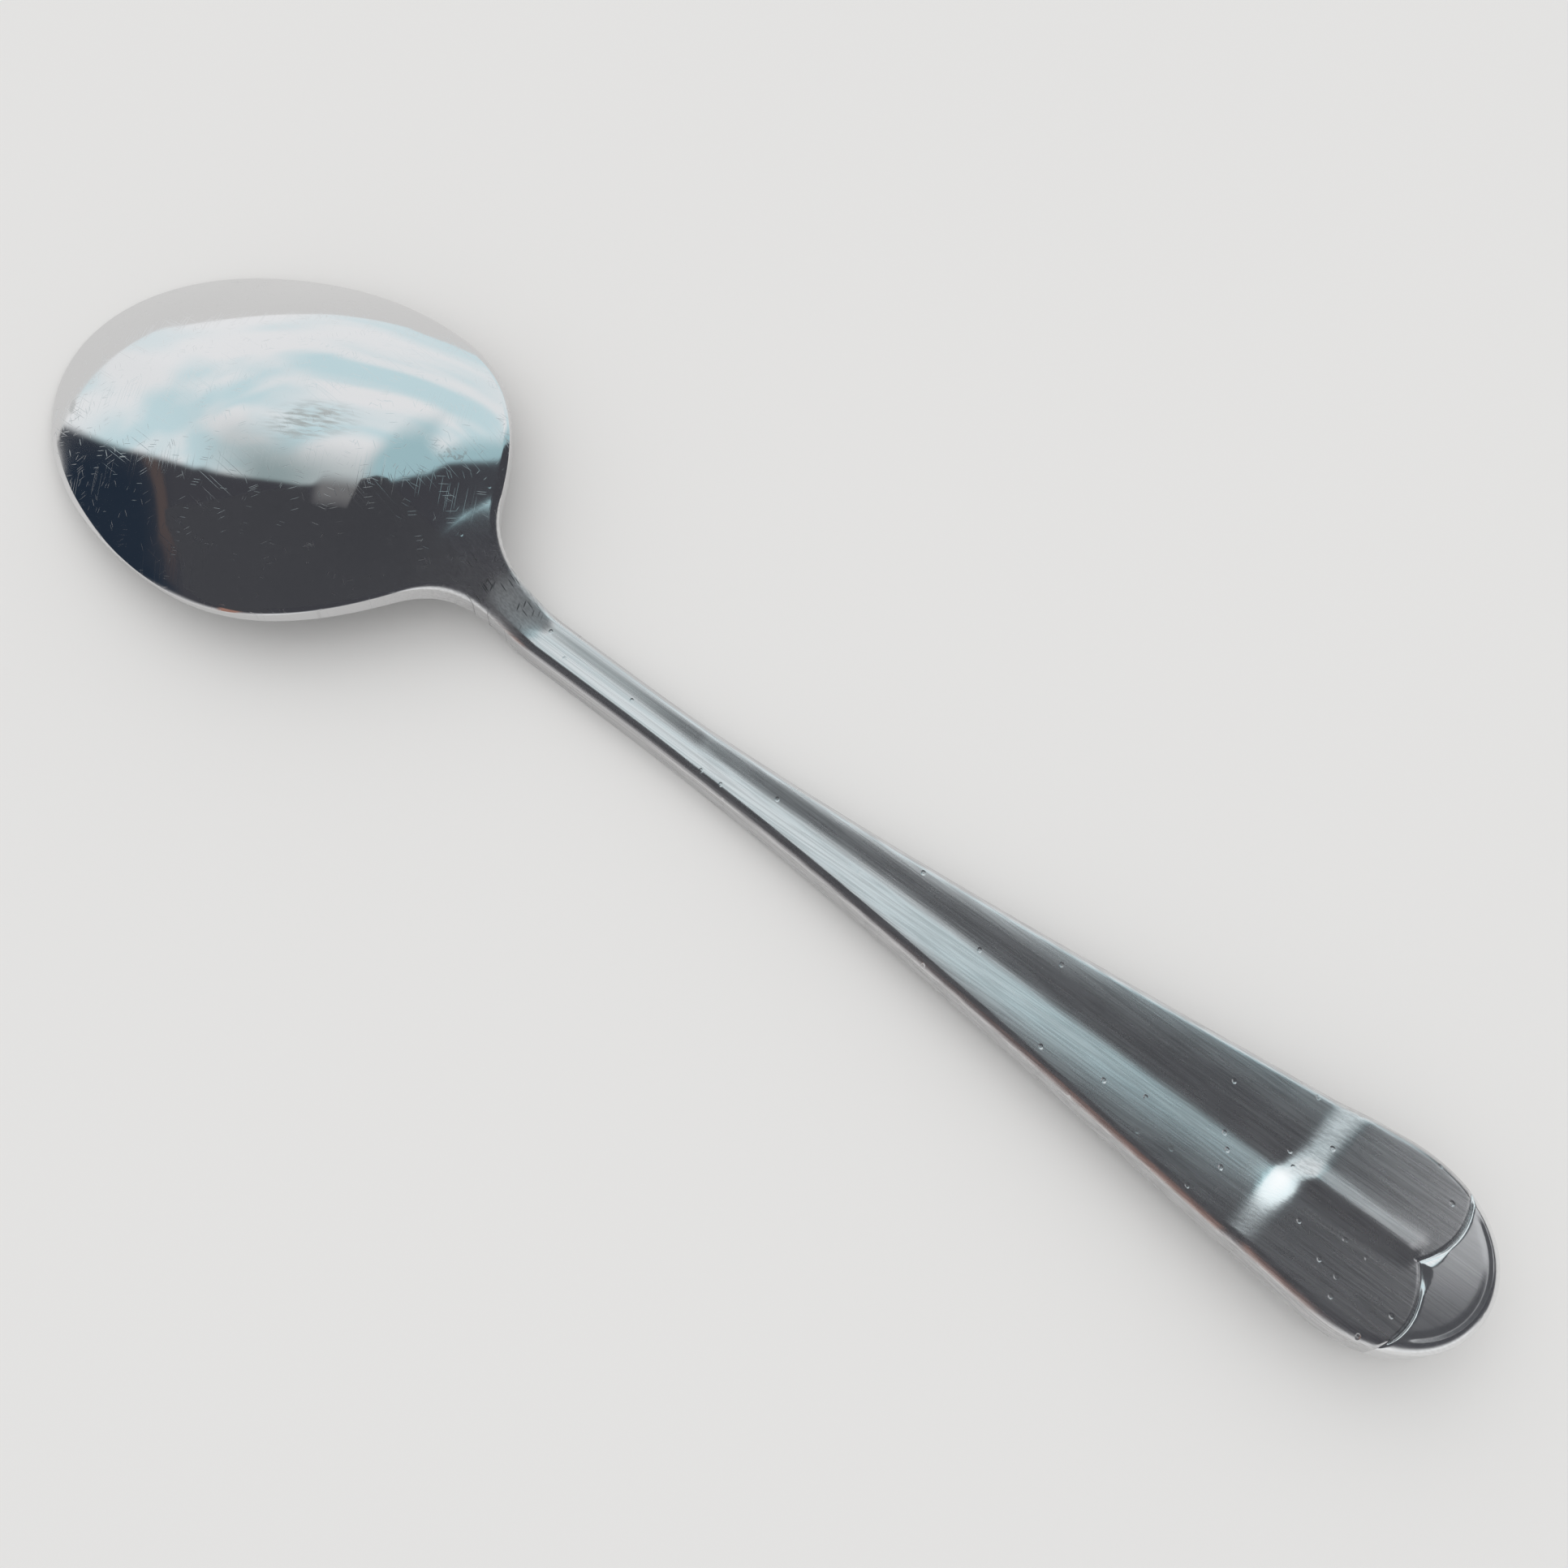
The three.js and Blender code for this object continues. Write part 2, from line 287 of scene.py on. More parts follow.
    def ridge(self, x, y):
        """Low rounded ridge beside the middle, from the ramp to the point of the seam."""
        s = self.s
        ends = 1 - smooth(x, self.point - s.ridge_width, self.point)
        return s.ridge_rise * self.ramp(x, y) * ends * np.exp(-(((y - s.ridge_aside) / s.ridge_width) ** 2))

    def seam_x(self, y):
        """The seam bows away from the point on each side."""
        share = np.abs(y) / self.s.bow_half_width
        return self.point + self.s.bow_depth * share * (2 - share)

    def row(self, t):
        """Middle, outline place and reach of row t. Rows fan out from the crown in the front of the bowl,
        and run straight across behind it. Reach is the distance from the middle to the outline's tangent."""
        s = self.s
        fan = t < self.widest
        turn = np.minimum(t / self.widest, 1) * np.pi / 2
        square = np.hypot(np.cos(turn) / s.bowl_front, np.sin(turn) / (s.bowl_width / 2))
        half = self.half_width(t)
        small = 0.01 * MM
        spread = (self.half_width(t + small) - self.half_width(t - small)) / (2 * small)
        middle = np.where(fan, self.widest, t)
        out_x = np.where(fan, self.widest - s.bowl_front * np.cos(turn), t)
        out_y = np.where(fan, s.bowl_width / 2 * np.sin(turn), half)
        return middle, out_x, out_y, np.where(fan, 1 / square, half / np.hypot(1, spread))

    def profile(self, ring):
        """Shares of one side's profile at ring 0 to 4: across the back, round the lip, down the side,
        round the lower corner and across the front. Ring 4 to 8 is the other side on its way back."""
        side = np.where(ring > 4, -1.0, 1.0)
        c = np.where(ring > 4, 8 - ring, ring)
        lip = np.clip(c - 1, 0, 1) * np.pi / 2
        fall = np.clip(2 * (c - 2), 0, 1)
        corner = np.clip(2 * (c - 2.5), 0, 1) * np.pi / 2
        return side, c, lip, fall, corner

    def across(self, t, ring):
        """Place in plan of row t at ring: a share of the way from the middle to the outline."""
        side, c, lip, _, corner = self.profile(ring)
        middle, out_x, out_y, reach = self.row(t)
        edge = self.edge_round(out_x)
        under = self.s.under_round
        gap = np.select(
            [c <= 1, c <= 2, c <= 3],
            [reach - c * (reach - edge), edge * (1 - np.sin(lip)), under * (1 - np.cos(corner))],
            reach - (4 - c) * (reach - under),
        )
        share = 1 - gap / reach
        return mix(middle, out_x, share), side * out_y * share

    def skin(self, t, ring):
        """Place in space of row t at ring. The back is a dome or a hollow with an elliptic lip that meets
        its slope, the side is upright, and the front is flat or follows the dome."""
        s = self.s
        _, c, lip, fall, corner = self.profile(ring)
        x, y = self.across(t, ring)
        middle, out_x, out_y, reach = self.row(t)
        edge = self.edge_round(out_x)
        dome = self.dome(middle)
        level = self.edge_level(x, y)
        low = self.lower_edge(x)
        sunk = level - self.lip(out_x)
        lean = 2 * dome / (reach - edge) * edge
        inner = np.maximum(np.abs(out_y) * (1 - edge / reach), SAME_PLACE)
        drop = self.drop(x)
        back = level + drop + dome * (1 - c**2) - self.trough(x, y, inner) + self.ridge(x, y)
        left = self.lip_height(np.sin(lip), out_x)
        round_lip = sunk + (level - sunk + drop - lean) * left + lean * (1 - np.sin(lip))
        under = np.minimum(s.under_round, (sunk - low) / 2)
        wall = mix(sunk, low + under, fall) - under * np.sin(corner)
        hollow = dome * (1 - (s.bowl_wall - s.rim_wall - s.rim_drop) / s.dome_rise)
        front = low + hollow * (1 - (4 - c) ** 2)
        z = np.select([c <= 1, c <= 2, c <= 3], [back, round_lip, wall], front)
        return self.placed(x, y, z)

    def seam_place(self, ring):
        """Where the column at ring meets the seam."""
        x = np.full_like(ring, self.point)
        for _ in range(SEAM_TURNS):
            x = self.seam_x(self.across(x, ring)[1])
        return x

    def blade_skin(self, share, ring):
        """Rows of the blade turn from straight to the seam's bows. Its back dips in a crease at the seam."""
        s = self.s
        seam = self.seam_place(ring)
        x = mix(self.blade, seam, share)
        skin = self.skin(x, ring)
        on_back = np.clip(2 - self.profile(ring)[1], 0, 1)
        skin[..., 2] -= on_back * s.seam_crease * np.exp(-(((seam - x) / s.crease_width) ** 2))
        return skin

    def end_skin(self, turn, ring):
        """Rows of the raised end run from the seam to the outline, turn 1 at one tip of the crescent and -1
        at the other. Its back is the blade's level with a step, whose bevel is widest at the point of the
        seam, and a groove along the outline."""
        s = self.s
        _, c, lip, fall, corner = self.profile(ring)
        size = np.abs(turn)
        side = np.where(turn < 0, -1.0, 1.0)
        angle = mix(np.pi / 2, self.seam_end_turn, size)
        out_x = self.rounding + s.round_length * np.sin(angle)
        out_y = (s.blade_width / 2 + s.blade_slope * (out_x - self.rounding)) * np.cos(angle)
        in_y = self.seam_end_y * size
        in_x = self.seam_x(in_y)
        span = np.maximum(np.hypot(out_x - in_x, out_y - in_y), 0.001 * MM)
        edge = np.minimum(s.blade_round, 0.4 * span) / span
        under = np.minimum(s.under_round, 0.4 * span) / span
        back_share = (1 - np.cos(np.pi * np.clip(c, 0, 1))) / 2
        front_share = (1 - np.cos(np.pi * np.clip(4 - c, 0, 1))) / 2
        share = np.select(
            [c <= 1, c <= 2, c <= 3],
            [(1 - edge) * back_share, 1 - edge * (1 - np.sin(lip)), 1 - under * (1 - np.cos(corner))],
            (1 - under) * front_share,
        )
        x = mix(in_x, out_x, share)
        y = mix(in_y, out_y, share)
        gap = self.end_gap(x, y)
        inset = np.clip(gap / s.blade_round, 0, 1)
        level = self.edge_level(x, y)
        low = self.lower_edge(x)
        sunk = level - s.handle_lip
        inside = share * span
        bevel = smooth(inside, 0, mix(s.point_bevel, s.end_bevel, smooth(in_y, 0, s.point_reach)))
        back = sunk + (s.handle_lip + s.handle_drop) * self.lip_height(1 - inset, x)
        back += (s.end_step * bevel - s.end_slope * (x - self.point)) * smooth(gap, 0, s.end_border)
        groove = np.exp(-(((gap - s.end_border) / s.groove_width) ** 2)) * smooth(inside, 0, s.end_border)
        back -= s.groove_depth * groove + inset * s.seam_crease * np.exp(-((inside / s.crease_width) ** 2))
        wall = mix(sunk, low + s.under_round, fall) - s.under_round * np.sin(corner)
        z = np.select([c <= 2, c <= 3], [back, wall], low + 0 * x)
        return self.placed(x, side * y, z)

    def end_gap(self, x, y):
        """Distance from the end's rounded outline, from the ellipse's level and its slope."""
        s = self.s
        ahead = (x - self.rounding) / s.round_length
        half = s.blade_width / 2 + s.blade_slope * (x - self.rounding)
        level = np.hypot(ahead, y / half)
        slope_x = ahead / s.round_length - y**2 / half**3 * s.blade_slope
        slope_y = y / half**2
        return np.maximum(0, (1 - level) * level / np.maximum(np.hypot(slope_x, slope_y), 1e-6))

    def placed(self, x, y, z):
        """Points in the shared frame, whose middle is half way along the spoon."""
        x, y, z = np.broadcast_arrays(x - self.length / 2, y, z)
        return np.stack([x, y, z], -1)


BACK_COLUMNS = 36  # across half of the back, and half of the front
LIP_COLUMNS = 10  # round the lip, and down the side with its lower corner


def ring_columns():
    """One side's places from the middle of the back to the middle of the front."""
    back = np.linspace(0, 1, BACK_COLUMNS + 1)
    lip = np.linspace(1, 2, LIP_COLUMNS + 1)[1:]
    side = np.array([2.5, *np.linspace(2.5, 3, LIP_COLUMNS)[1:]])
    return np.concatenate([back, lip, side, np.linspace(3, 4, BACK_COLUMNS + 1)[1:]])


def unit(vectors):
    """Vectors of length 1."""
    return vectors / np.maximum(np.linalg.norm(vectors, axis=-1, keepdims=True), 1e-20)


def surface_normals(surface, rows, ring):
    """Cross product of the surface's slopes along its rows and round its ring."""
    along = surface(rows + STEP * np.ptp(rows), ring) - surface(rows - STEP * np.ptp(rows), ring)
    ring = np.where(ring < STEP, ring + 2 * STEP, ring)
    return unit(np.cross(along, surface(rows, ring + STEP) - surface(rows, ring - STEP)))


def grid_faces(count, columns):
    """Quads between neighbouring rows of a grid whose columns close into a ring."""
    index = np.arange(count * columns).reshape(count, columns)
    beside = np.roll(index, -1, axis=1)
    return np.stack([index[:-1], index[1:], beside[1:], beside[:-1]], -1)


def end_faces(first, half):
    """Quads that close one end of a ring of 4 half columns, facing back along the piece."""
    out = np.arange(half)
    right = np.stack([out, out + 1, 2 * half - out - 1, 2 * half - out], -1)
    left = np.stack([4 * half - out, 2 * half + out, 2 * half + out + 1, 4 * half - out - 1], -1)
    return first + np.concatenate([right, left]) % (4 * half)


def add_piece(name, points, normals, quads, flat_quads, material):
    """A closed mesh from grid points, smooth where normals are given and flat on flat_quads. Corners that
    fall on one place become one, and a quad that loses a corner becomes a triangle."""
    quads = np.concatenate([quads.reshape(-1, 4), flat_quads.reshape(-1, 4)])
    flat = np.arange(len(quads)) >= len(quads) - len(flat_quads.reshape(-1, 4))
    points = points.reshape(-1, 3)
    _, kept, joined = np.unique(np.round(points / SAME_PLACE), axis=0, return_index=True, return_inverse=True)
    joined = joined.reshape(-1)
    corners = joined[quads]
    repeat = corners == np.roll(corners, -1, axis=1)
    whole = repeat.sum(1) == 0
    torn = repeat.sum(1) == 1
    tri_keep = ~repeat[torn]
    tris = quads[torn][tri_keep].reshape(-1, 3)
    first, second, third, fourth = np.moveaxis(points[quads], 1, 0)
    sides = unit(np.cross(third - first, fourth - second))
    normals = normals.reshape(-1, 3)
    quad_normals = np.where(flat[:, None, None], sides[:, None], normals[quads])
    loops = np.concatenate([
        quad_normals[whole].reshape(-1, 3), quad_normals[torn][tri_keep].reshape(-1, 3)
    ])
    mesh = bpy.data.meshes.new(name)
    mesh.from_pydata(points[kept].tolist(), [], corners[whole].tolist() + joined[tris].tolist())
    mesh.polygons.foreach_set("use_smooth", np.ones(len(mesh.polygons), bool))
    mesh.normals_split_custom_set(loops.tolist())
    mesh.materials.append(material)
    mesh.update()
    piece = bpy.data.objects.new(name, mesh)
    bpy.context.scene.collection.objects.link(piece)
    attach(piece, "root")
    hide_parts(name.removeprefix("steel_"))
    return piece


def add_length(name, surface, rows, material, cut_start=True):
    """A stretch of the spoon: rows along it, a full ring round it and a flat face at each cut."""
    half = ring_columns()
    ring = np.concatenate([half, 8 - half[-2:0:-1]])[None]
    rows = rows[:, None]
    points = surface(rows, ring)
    count, columns = points.shape[:2]
    caps = end_faces((count - 1) * columns, columns // 4)[:, ::-1]
    if cut_start:
        caps = np.concatenate([end_faces(0, columns // 4), caps])
    return add_piece(name, points, surface_normals(surface, rows, ring), grid_faces(count, columns), caps,
                     material)


class Shade:
    """A shader socket in Python arithmetic: each operator adds one Math node to its tree."""

    def __init__(self, tree, socket=None):
        self.tree = tree
        self.socket = socket

    def node(self, kind, settings, sockets, output=0):
        """Adds a node of a type, with its settings first and then the values or links of its sockets."""
        node = self.tree.nodes.new(kind)
        for name, value in settings.items():
            setattr(node, name, value)
        for name, value in sockets.items():
            if isinstance(value, Shade):
                self.tree.links.new(value.socket, node.inputs[name])
            else:
                node.inputs[name].default_value = value
        return Shade(self.tree, node.outputs[output] if len(node.outputs) else None)

    def math(self, operation, first, second):
        return self.node("ShaderNodeMath", {"operation": operation}, {0: first, 1: second})

    def __add__(self, other):
        return self.math("ADD", self, other)

    __radd__ = __add__

    def __sub__(self, other):
        return self.math("SUBTRACT", self, other)

    def __rsub__(self, other):
        return self.math("SUBTRACT", other, self)

    def __mul__(self, other):
        return self.math("MULTIPLY", self, other)

    __rmul__ = __mul__

    def __pow__(self, other):
        return self.math("POWER", self, other)

    def most(self, other):
        return self.math("MAXIMUM", self, other)

    def smooth(self, start, stop):
        """0 at start, 1 at stop, level at both ends."""
        return self.node(
            "ShaderNodeMapRange",
            {"interpolation_type": "SMOOTHSTEP"},
            {"Value": self, "From Min": start, "From Max": stop, "To Min": 0.0, "To Max": 1.0},
        )

    def blend(self, first, second):
        """Colour between first and second, with this socket as the share of second."""
        return self.node("ShaderNodeMix", {"data_type": "RGBA"}, {"Factor": self, 6: first, 7: second}, 2)

    def mapped(self, scale, turn=0.0):
        """Coordinates turned about the upright axis and then scaled along each axis."""
        turned = self.node("ShaderNodeMapping", {}, {"Vector": self, "Rotation": (0.0, 0.0, turn)})
        return self.node("ShaderNodeMapping", {}, {"Vector": turned, "Scale": scale})

    def noise(self, scale, detail=2.0, distortion=0.0):
        """Soft noise from 0 to 1 on these coordinates."""
        sockets = {"Vector": self, "Scale": scale, "Detail": detail, "Distortion": distortion}
        return self.node("ShaderNodeTexNoise", {}, sockets)

    def parts(self):
        """The three numbers of a vector."""
        split = self.node("ShaderNodeSeparateXYZ", {}, {"Vector": self})
        outputs = split.socket.node.outputs
        return [Shade(self.tree, outputs[k]) for k in range(3)]


def rgba(value):
    """A linear colour with full alpha."""
    return (*value, 1.0)


def scratches(mm, turn, along, across, size, kept):
    """Short straight strokes in one direction: long thin cells, of which a share keeps a stroke."""
    cells = mm.mapped((along, across, 1.0), turn)
    settings = {"voronoi_dimensions": "2D", "feature": "F1"}
    sockets = {"Vector": cells, "Scale": 1.0, "Randomness": 1.0}
    distance = mm.node("ShaderNodeTexVoronoi", settings, sockets, "Distance")
    chance = Shade(mm.tree, distance.socket.node.outputs["Color"]).parts()[0]
    return (1 - distance.smooth(size * 0.4, size)) * chance.smooth(1 - kept, 1 - 0.6 * kept)


def patch(mm, x, y, turn, half_length, half_width):
    """1 in the middle of an oval patch about x and y, 0 outside it."""
    moved = mm.node("ShaderNodeVectorMath", {"operation": "SUBTRACT"}, {0: mm, 1: (x, y, 0.0)})
    oval = moved.mapped((1 / half_length, 1 / half_width, 0.0), -turn)
    return 1 - mm.node("ShaderNodeVectorMath", {"operation": "LENGTH"}, {0: oval}, "Value").smooth(0.3, 1.0)


def steel_material(name, tint, dull, brush=1.0):
    """Steel that runs from a mirror polish in the bowl to a lengthwise brushed satin of roughness dull on the
    handle, with hairlines, short strokes, small dings, a scuffed crown, a scored neck, and a painted
    highlight on the ramp: a near-white, smoother spot."""
    material = bpy.data.materials.new(name)
    material.use_nodes = True
    tree = material.node_tree
    tree.nodes.clear()
    start = Shade(tree)
    place = start.node("ShaderNodeTexCoord", {}, {}, "Object")
    mm = start.node("ShaderNodeVectorMath", {"operation": "SCALE"}, {"Vector": place, "Scale": 1000.0})
    satin = mm.parts()[0].smooth(-30.0, -18.0)
    grain = mm.mapped((0.06, 6.0, 6.0)).noise(1.0, 4.0)
    broad = mm.mapped((0.03, 1.3, 1.3)).noise(1.0, 2.0)
    wear = mm.noise(0.22, 3.0).smooth(0.35, 0.7)
    strokes = scratches(mm, 0.55, 0.3, 6.0, 0.15, 0.16)
    strokes = strokes.most(scratches(mm, -0.35, 0.36, 6.6, 0.15, 0.14))
    strokes = strokes.most(scratches(mm, 1.35, 0.5, 6.0, 0.14, 0.12))
    strokes = strokes.most(scratches(mm, 2.2, 0.34, 7.0, 0.16, 0.12))
    hairs = scratches(mm, 0.1, 0.1, 8.0, 0.2, 0.2).most(scratches(mm, 1.0, 0.12, 9.0, 0.2, 0.2))
    scored = scratches(mm, 1.2, 0.45, 3.0, 0.2, 0.5).most(scratches(mm, 0.2, 0.4, 3.2, 0.2, 0.45))
    dings = scratches(mm, 0.9, 0.8, 1.0, 0.2, 0.10) * satin
    neck = patch(mm, -20.3, 0.3, 0.0, 5.0, 4.0)
    dulled = patch(mm, -18.9, 0.3, 0.0, 3.0, 3.0)
    smear = mm.mapped((0.6, 3.2, 1.0), -0.5).noise(1.0, 4.0).smooth(0.38, 0.66)
    speckle = mm.noise(2.5, 2.0).smooth(0.52, 0.62)
    scuff = patch(mm, -39.7, -0.6, 0.76, 4.8, 2.6) * smear
    scuff = scuff + 0.5 * speckle * patch(mm, -30.3, 5.7, 1.2, 2.0, 1.0)
    scuff = scuff + 0.6 * patch(mm, -62.8, -9.2, -0.8, 1.2, 0.5)
    # painted highlight: a near-white, smoother oval on the ramp, where the steel shows a bright reflection
    painted_highlight = patch(mm, 54.3, -1.6, 0.0, 2.4, 2.6)
    marked = (strokes * (0.4 + 0.6 * wear) + 0.4 * hairs) * (1 - 0.9 * satin) + 0.6 * scored * neck
    brushed = brush * satin * grain.smooth(0.35, 0.68)
    rough = 0.05 + (dull - 0.05) * satin + 0.10 * satin * (broad - 0.5) + 0.02 * wear
    rough = rough + 0.24 * marked + 0.25 * scuff + 0.3 * dulled - 0.10 * painted_highlight
    height = 1.2 * brush * satin * (grain - 0.5) - 0.8 * marked - 7.0 * dings
    bump = start.node("ShaderNodeBump", {}, {"Strength": 1.0, "Distance": 0.000004, "Height": height})
    wear_and_highlight = (0.3 * marked + 0.6 * brushed).blend(rgba(tint), rgba([0.62 * v for v in tint]))
    wear_and_highlight = (scored * neck).blend(wear_and_highlight, (0.20, 0.20, 0.21, 1.0))
    wear_and_highlight = (0.65 * scuff).blend(wear_and_highlight, (0.40, 0.37, 0.35, 1.0))
    # painted highlight on the ramp: the base colour turns near-white there
    wear_and_highlight = painted_highlight.blend(wear_and_highlight, (0.98, 0.98, 0.98, 1.0))
    sockets = {"Base Color": wear_and_highlight, "Metallic": 1.0, "Roughness": rough, "Normal": bump}
    shader = start.node("ShaderNodeBsdfPrincipled", {}, sockets)
    start.node("ShaderNodeOutputMaterial", {}, {"Surface": shader})
    return material


SATIN_ROUGHNESS = 0.26  # of the brushed handle
END_ROUGHNESS = 0.19  # of the raised end
END_BRUSH = 0.3  # how strongly the raised end is brushed, next to the rest of the handle


def blade_rows():
    """Even rows along the blade, closer together at the seam."""
    return np.concatenate([np.linspace(0, 0.985, 120), np.linspace(0.985, 1, 9)[1:]])


class SpoonOperator:
    """What the operators for the pieces share."""

    bl_options = {"REGISTER"}

    def execute(self, context):
        self.make(SpoonForm(context.scene.spoon_sizes), context.scene.spoon_looks)
        return {"FINISHED"}


class SPOON_OT_bowl(SpoonOperator, bpy.types.Operator):
    """Mirror-polished bowl with a rounded rim."""

    bl_idname = "spoon.bowl"
    bl_label = "Bowl"

    def make(self, form, looks):
        front = np.linspace(0, form.widest, 61)
        rows = np.concatenate([front, np.linspace(form.widest, form.shoulder, 45)[1:]])
        steel = steel_material("polished_steel", looks.steel, SATIN_ROUGHNESS)
        add_length("steel_bowl", form.skin, rows, steel, cut_start=False)


class SPOON_OT_neck(SpoonOperator, bpy.types.Operator):
    """Neck that comes down from the bowl to the stem."""

    bl_idname = "spoon.neck"
    bl_label = "Neck"

    def make(self, form, looks):
        steel = steel_material("neck_steel", looks.steel, SATIN_ROUGHNESS)
        add_length("steel_neck", form.skin, np.linspace(form.shoulder, form.stem, 33), steel)


class SPOON_OT_stem(SpoonOperator, bpy.types.Operator):
    """Narrow brushed stem with a shallow hollow along its back."""

    bl_idname = "spoon.stem"
    bl_label = "Stem"

    def make(self, form, looks):
        steel = steel_material("stem_steel", looks.steel, SATIN_ROUGHNESS)
        add_length("steel_stem", form.skin, np.linspace(form.stem, form.blade, 71), steel)


class SPOON_OT_blade(SpoonOperator, bpy.types.Operator):
    """Widening brushed blade whose hollow runs out before the raised end."""

    bl_idname = "spoon.blade"
    bl_label = "Blade"

    def make(self, form, looks):
        steel = steel_material("blade_steel", looks.steel, SATIN_ROUGHNESS)
        add_length("steel_blade", form.blade_skin, blade_rows(), steel)


class SPOON_OT_raised_end(SpoonOperator, bpy.types.Operator):
    """Raised crescent at the handle's end, with a bevelled seam."""

    bl_idname = "spoon.raised_end"
    bl_label = "Raised end"

    def make(self, form, looks):
        steel = steel_material("end_steel", looks.satin, END_ROUGHNESS, END_BRUSH)
        rows = np.linspace(1, -1, 121)[:, None]
        ring = ring_columns()[None]
        points = form.end_skin(rows, ring)
        quads = grid_faces(*points.shape[:2])
        normals = surface_normals(form.end_skin, np.clip(rows, -0.99, 0.99), ring)
        add_piece("steel_raised_end", points, -normals * np.sign(np.ptp(rows)), quads[:, :-1], quads[:, -1:],
                  steel)


CAMERA_PLACE = (0.03808, -0.04398, 0.11361)
CAMERA_RIGHT = (0.7813, 0.6225, 0.0446)
CAMERA_FORWARD = (-0.2432, 0.3696, -0.8968)
CAMERA_LENS = 36.06
HEADING = (-0.5497, 0.8354)  # level direction in which the camera looks
SIDEWAYS = (0.8354, 0.5497)  # level direction to the camera's right


FLOOR_REACH = 2.0
FLOOR_LEVEL = -0.05 * MM
TABLE_LEVEL = -0.04 * MM
CARD_HEIGHT = 0.080
CARD_CORNERS = (  # millimetres along the camera's heading and to its right
    (-200, -90), (-200, -190), (18, -190), (20, -80), (19, -52), (9, -47), (9, -27), (28, -22), (33, -14),
    (34, -8), (27, 0), (19, 14), (16, 31), (15, 47), (12, 65), (8, 84.5), (-22, 84.5), (-22, 130),
    (-110, 130), (-110, -90),
)
GREY_CORNERS = ((-22, 84.5), (30, 84.5), (30, 260), (-22, 260))
TABLE_CORNERS = (  # its far edge is the border of the pale band along the bowl's far rim
    (-2000, -2000), (105, -2000), (115, -100), (122, -70), (112, -51), (98, -39), (80, -27), (75, 0),
    (75, 2000), (-2000, 2000),
)


def level_place(ahead, aside, up):
    """A place from distances along the camera's heading, to its right and up."""
    return Vector((
        HEADING[0] * ahead + SIDEWAYS[0] * aside, HEADING[1] * ahead + SIDEWAYS[1] * aside, up
    ))


def add_camera():
    """Camera at the viewing angle, upright frame from its forward and right directions."""
    data = bpy.data.cameras.new("camera")
    data.lens = CAMERA_LENS
    data.sensor_width = 36.0
    data.clip_start = 0.005
    camera = bpy.data.objects.new("camera", data)
    back = -Vector(CAMERA_FORWARD).normalized()
    right = Vector(CAMERA_RIGHT)
    right = (right - back * right.dot(back)).normalized()
    turn = Matrix((right, back.cross(right), back)).transposed()
    camera.matrix_world = Matrix.Translation(CAMERA_PLACE) @ turn.to_4x4()
    bpy.context.scene.collection.objects.link(camera)
    bpy.context.scene.camera = camera


def add_sheet(name, corners, material):
    """A flat sheet on the stage, from its corners in order."""
    mesh = bpy.data.meshes.new(name)
    mesh.from_pydata([tuple(c) for c in corners], [], [tuple(range(len(corners)))])
    mesh.materials.append(material)
    sheet = bpy.data.objects.new(name, mesh)
    bpy.context.scene.collection.objects.link(sheet)
    return sheet


def matte(name, tint):
    """Plain matte material."""
    material = bpy.data.materials.new(name)
    material.use_nodes = True
    shader = material.node_tree.nodes["Principled BSDF"]
    shader.inputs["Base Color"].default_value = rgba(tint)
    shader.inputs["Roughness"].default_value = 1.0
    shader.inputs["Specular IOR Level"].default_value = 0.0
    return material


def add_card(name, corners, height, tint):
    """A level sheet that only shows in the steel."""
    places = [level_place(ahead * MM, aside * MM, height) for ahead, aside in corners]
    card = add_sheet(name, places, matte(name, tint))
    card.visible_camera = False
    card.visible_diffuse = False
    card.visible_shadow = False
    card.visible_transmission = False


def add_lamp(name, place, size, power, tint=(1.0, 0.945, 0.90)):
    """Soft square lamp that looks at the spoon and doesn't show in the steel."""
    data = bpy.data.lights.new(name, "AREA")
    data.size = size
    data.energy = power
    data.color = tint
    lamp = bpy.data.objects.new(name, data)
    lamp.location = place
    lamp.rotation_euler = place.to_track_quat("Z", "Y").to_euler()
    lamp.visible_glossy = False
    bpy.context.scene.collection.objects.link(lamp)


